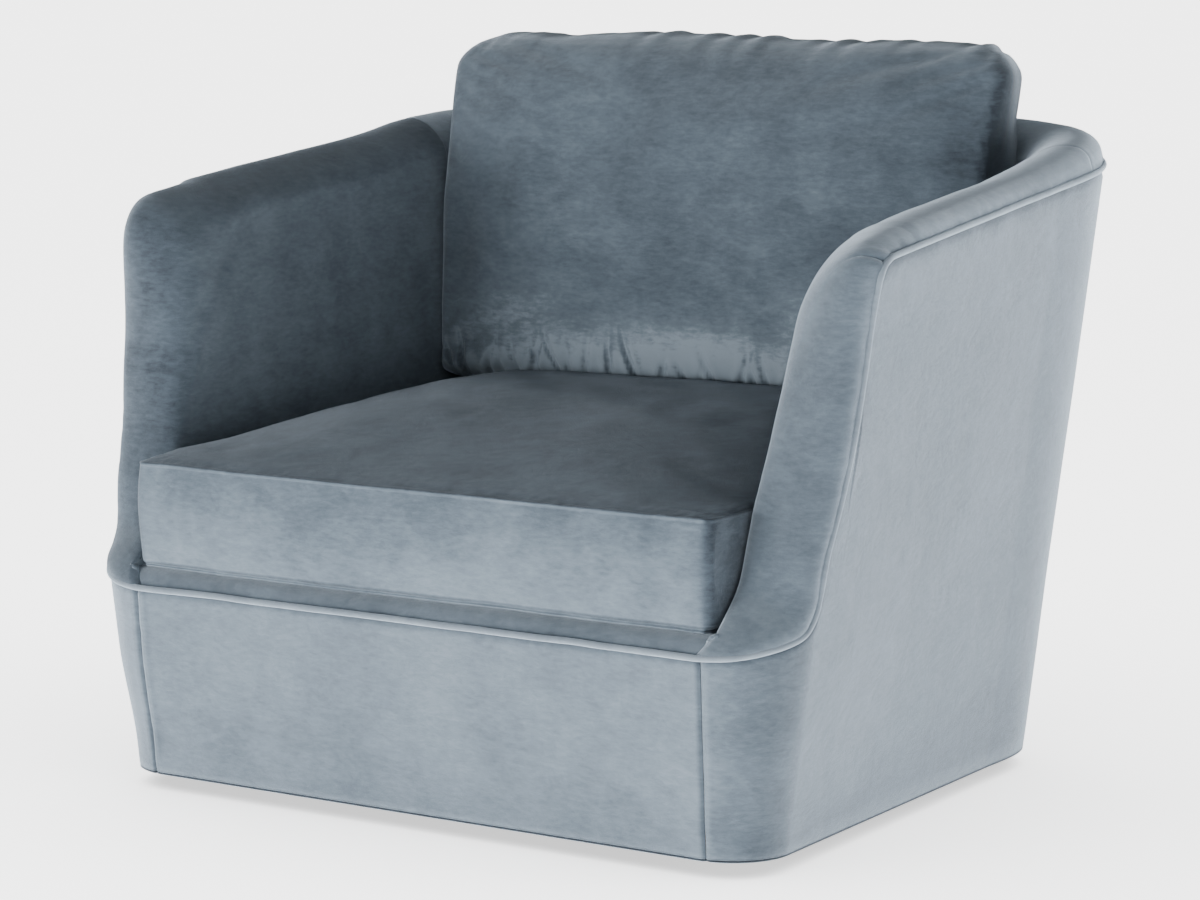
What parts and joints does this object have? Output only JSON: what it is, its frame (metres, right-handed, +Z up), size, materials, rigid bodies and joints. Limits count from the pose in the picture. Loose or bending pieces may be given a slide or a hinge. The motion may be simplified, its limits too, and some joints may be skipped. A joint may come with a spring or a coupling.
{
  "type": "cuddle chair",
  "caption": "Wide upholstered tub armchair with piped, scooped arm fronts, a boxed seat cushion and a loose back cushion, turning on a hidden swivel base.",
  "frame": {"origin": "on the floor, on the swivel axis, below the middle of the bounding box", "axes": "+Z up, the sitter faces -Y, +X to the sitter's left-hand side of the picture's right"},
  "size_m": [1.0624, 0.887, 0.8863],
  "materials": {
    "velvet": "cut-pile velvet with patches of turned pile",
    "piping_cloth": "self-fabric velvet piping",
    "deck_cover": "woven platform cloth over a thin pad",
    "black_cloth": "black non-woven cloth",
    "plywood": "raw birch plywood",
    "hardwood": "raw sawn hardwood",
    "spring_steel": "drawn spring wire",
    "plate_steel": "zinc-plated pressed steel",
    "bolt_steel": "zinc-plated",
    "black_paint": "black painted board, satin",
    "glide_plastic": "moulded, matte"
  },
  "bodies": {
    "swivel_base": {"floor_disc": "black_paint", "floor_glide_1": "glide_plastic", "floor_glide_2": "glide_plastic", "floor_glide_3": "glide_plastic", "floor_glide_4": "glide_plastic", "floor_glide_5": "glide_plastic", "lower_swivel_plate": "plate_steel", "swivel_pin": "plate_steel", "swivel_screw_1": "bolt_steel", "swivel_screw_2": "bolt_steel", "swivel_screw_3": "bolt_steel", "swivel_screw_4": "bolt_steel"},
    "chair": {"front_outside_cover": "velvet", "side_outside_cover_right": "velvet", "side_outside_cover_left": "velvet", "back_outside_cover": "velvet", "arm_border_right": "velvet", "arm_border_left": "velvet", "front_lip": "velvet", "inside_arm_right": "velvet", "inside_arm_left": "velvet", "inside_back": "velvet", "piping": "piping_cloth", "deck_pad": "deck_cover", "deck_cloth": "black_cloth", "dust_cloth": "black_cloth", "hem_rail_front": "plywood", "hem_rail_side_right": "plywood", "hem_rail_side_left": "plywood", "hem_rail_back": "plywood", "arm_top_rail_right": "plywood", "arm_top_rail_left": "plywood", "back_top_rail": "plywood", "arm_post_right": "plywood", "arm_post_left": "plywood", "swivel_board": "plywood", "back_post_1": "hardwood", "back_post_2": "hardwood", "back_post_3": "hardwood", "front_rail": "hardwood", "side_seat_rail_right": "hardwood", "side_seat_rail_left": "hardwood", "back_seat_rail": "hardwood", "cross_rail_front": "hardwood", "cross_rail_rear": "hardwood", "seat_spring_1": "spring_steel", "seat_spring_2": "spring_steel", "seat_spring_3": "spring_steel", "seat_spring_4": "spring_steel", "seat_spring_5": "spring_steel", "upper_swivel_plate": "plate_steel", "swivel_bolt_1": "bolt_steel", "swivel_bolt_2": "bolt_steel", "swivel_bolt_3": "bolt_steel", "swivel_bolt_4": "bolt_steel"},
    "ball_cage": {"ball_cage": "plate_steel"},
    "seat_cushion": {"seat_cushion": "velvet"},
    "back_cushion": {"back_cushion": "velvet"}
  },
  "joints": [
    {"name": "chair_swivel", "type": "hinge", "parent": "swivel_base", "child": "chair", "pos_m": [0, 0, 0.0321], "axis": [0, 0, 1], "continuous": true},
    {"name": "cage_turn", "type": "hinge", "parent": "swivel_base", "child": "ball_cage", "pos_m": [0, 0, 0.0321], "axis": [0, 0, 1], "continuous": true},
    {"name": "seat_cushion_lift", "type": "slide", "parent": "chair", "child": "seat_cushion", "axis": [0, 0, 1], "range_m": [0, 0.45]},
    {"name": "back_cushion_lift", "type": "slide", "parent": "seat_cushion", "child": "back_cushion", "axis": [0, 0, 1], "range_m": [0, 0.45]}
  ],
  "couplings": [
    {"joint": "cage_turn", "follows": "chair_swivel", "ratio": 0.5}
  ]
}
